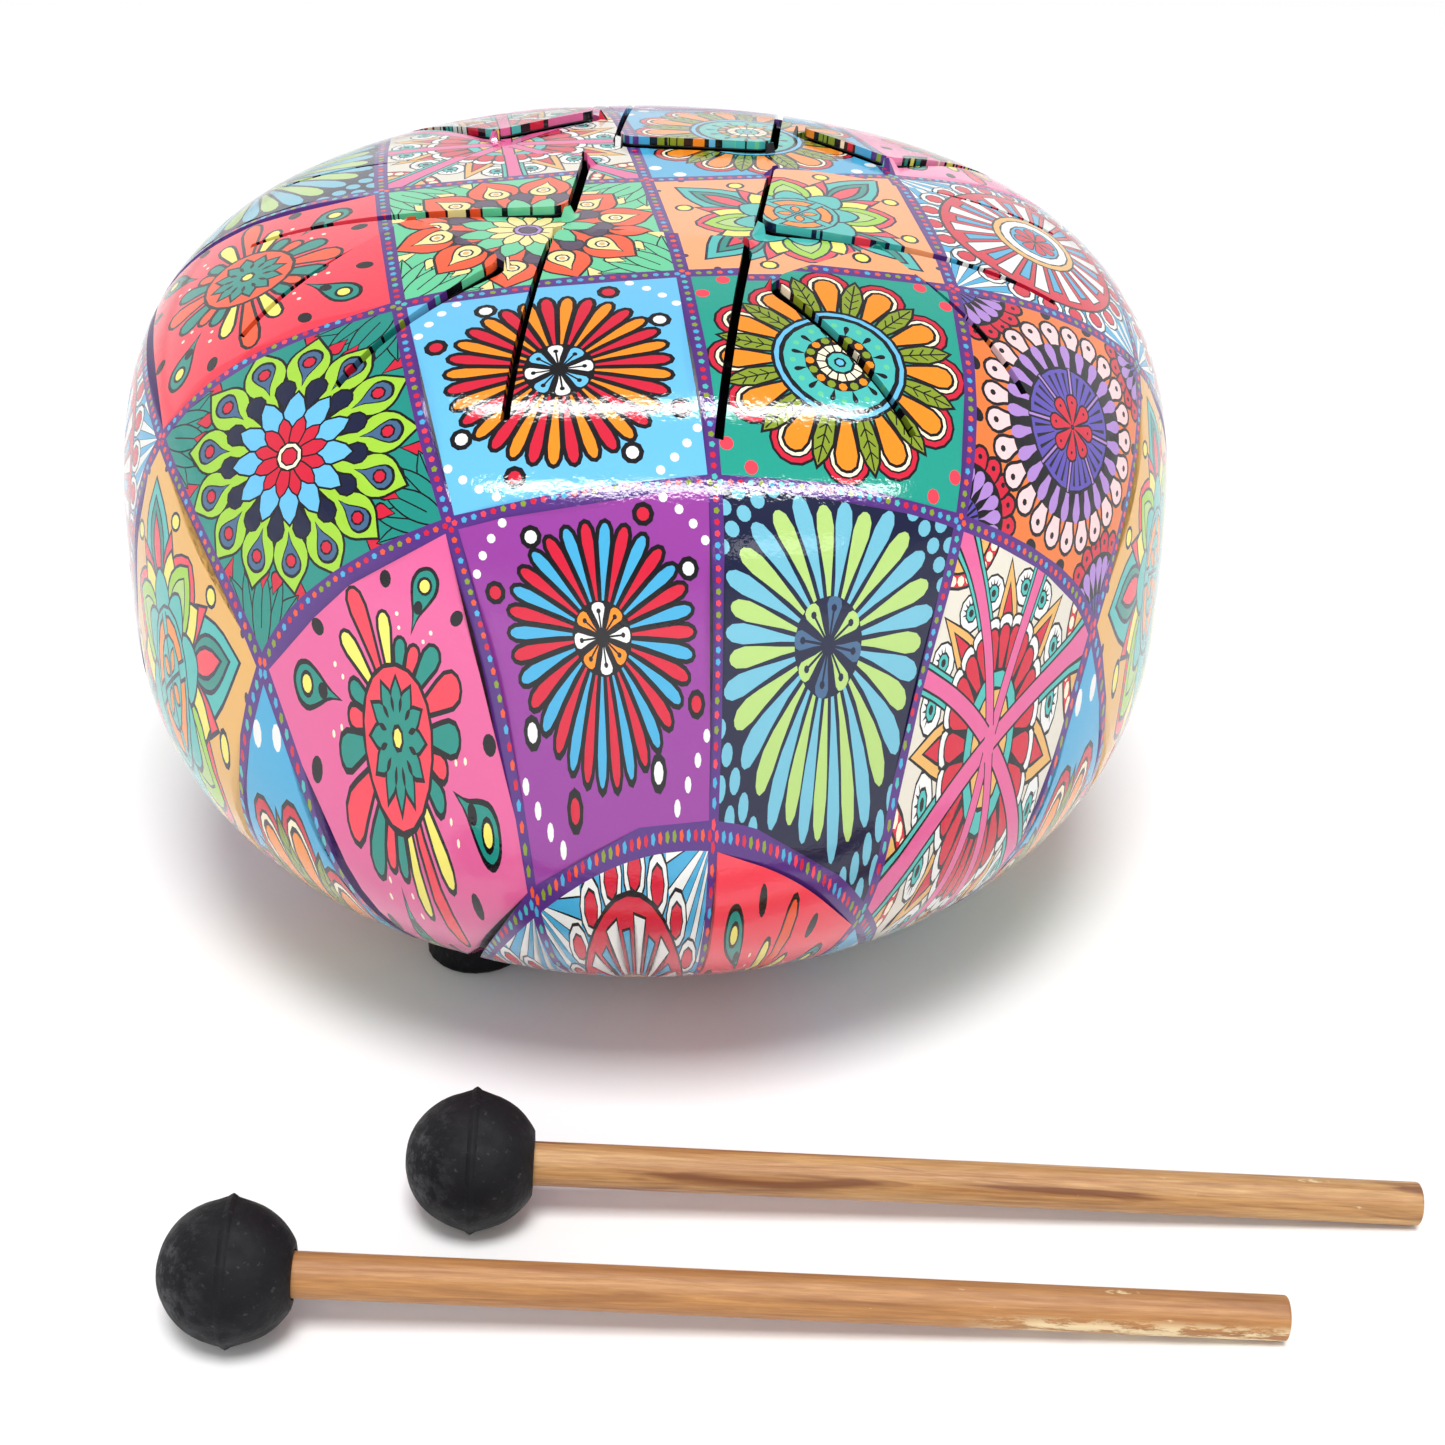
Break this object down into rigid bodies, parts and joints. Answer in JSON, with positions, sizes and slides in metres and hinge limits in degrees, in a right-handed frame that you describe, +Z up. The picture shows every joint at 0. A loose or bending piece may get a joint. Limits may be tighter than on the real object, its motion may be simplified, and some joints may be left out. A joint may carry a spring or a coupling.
{
  "type": "steel tongue drum with mallets",
  "caption": "Round steel tongue drum with a printed patchwork finish on rubber feet, and a pair of rubber-headed wooden mallets lying in front of it.",
  "frame": {"origin": "bottom centre of the bounding box of drum and mallets together, on the surface they stand on", "axes": "+Z up along the drum's axis, -Y the front where the mallets lie, +X to the right from the mallet heads towards the handle ends"},
  "size_m": [0.235, 0.2542, 0.148],
  "materials": {
    "printed_steel": "gloss multicolour patchwork print under clear lacquer",
    "bare_steel": "satin",
    "zinc_plate": "zinc plated",
    "black_rubber": "matt",
    "lacquered_wood": "clear satin lacquer"
  },
  "bodies": {
    "drum": {"upper_shell": "printed_steel", "lower_shell": "printed_steel", "seam_weld": "bare_steel", "foot_front": "black_rubber", "foot_right": "black_rubber", "foot_back": "black_rubber", "foot_washer_front": "zinc_plate", "foot_washer_right": "zinc_plate", "foot_washer_back": "zinc_plate", "foot_screw_front": "zinc_plate", "foot_screw_right": "zinc_plate", "foot_screw_back": "zinc_plate", "foot_nut_front": "zinc_plate", "foot_nut_right": "zinc_plate", "foot_nut_back": "zinc_plate"},
    "near_mallet": {"mallet_near_head": "black_rubber", "mallet_near_handle": "lacquered_wood"},
    "far_mallet": {"mallet_far_head": "black_rubber", "mallet_far_handle": "lacquered_wood"}
  },
  "joints": [
    {"name": "near_mallet_lift", "type": "slide", "parent": "drum", "child": "near_mallet", "axis": [0, 0, 1], "range_m": [0, 0.12]},
    {"name": "far_mallet_lift", "type": "slide", "parent": "drum", "child": "far_mallet", "axis": [0, 0, 1], "range_m": [0, 0.12]}
  ]
}
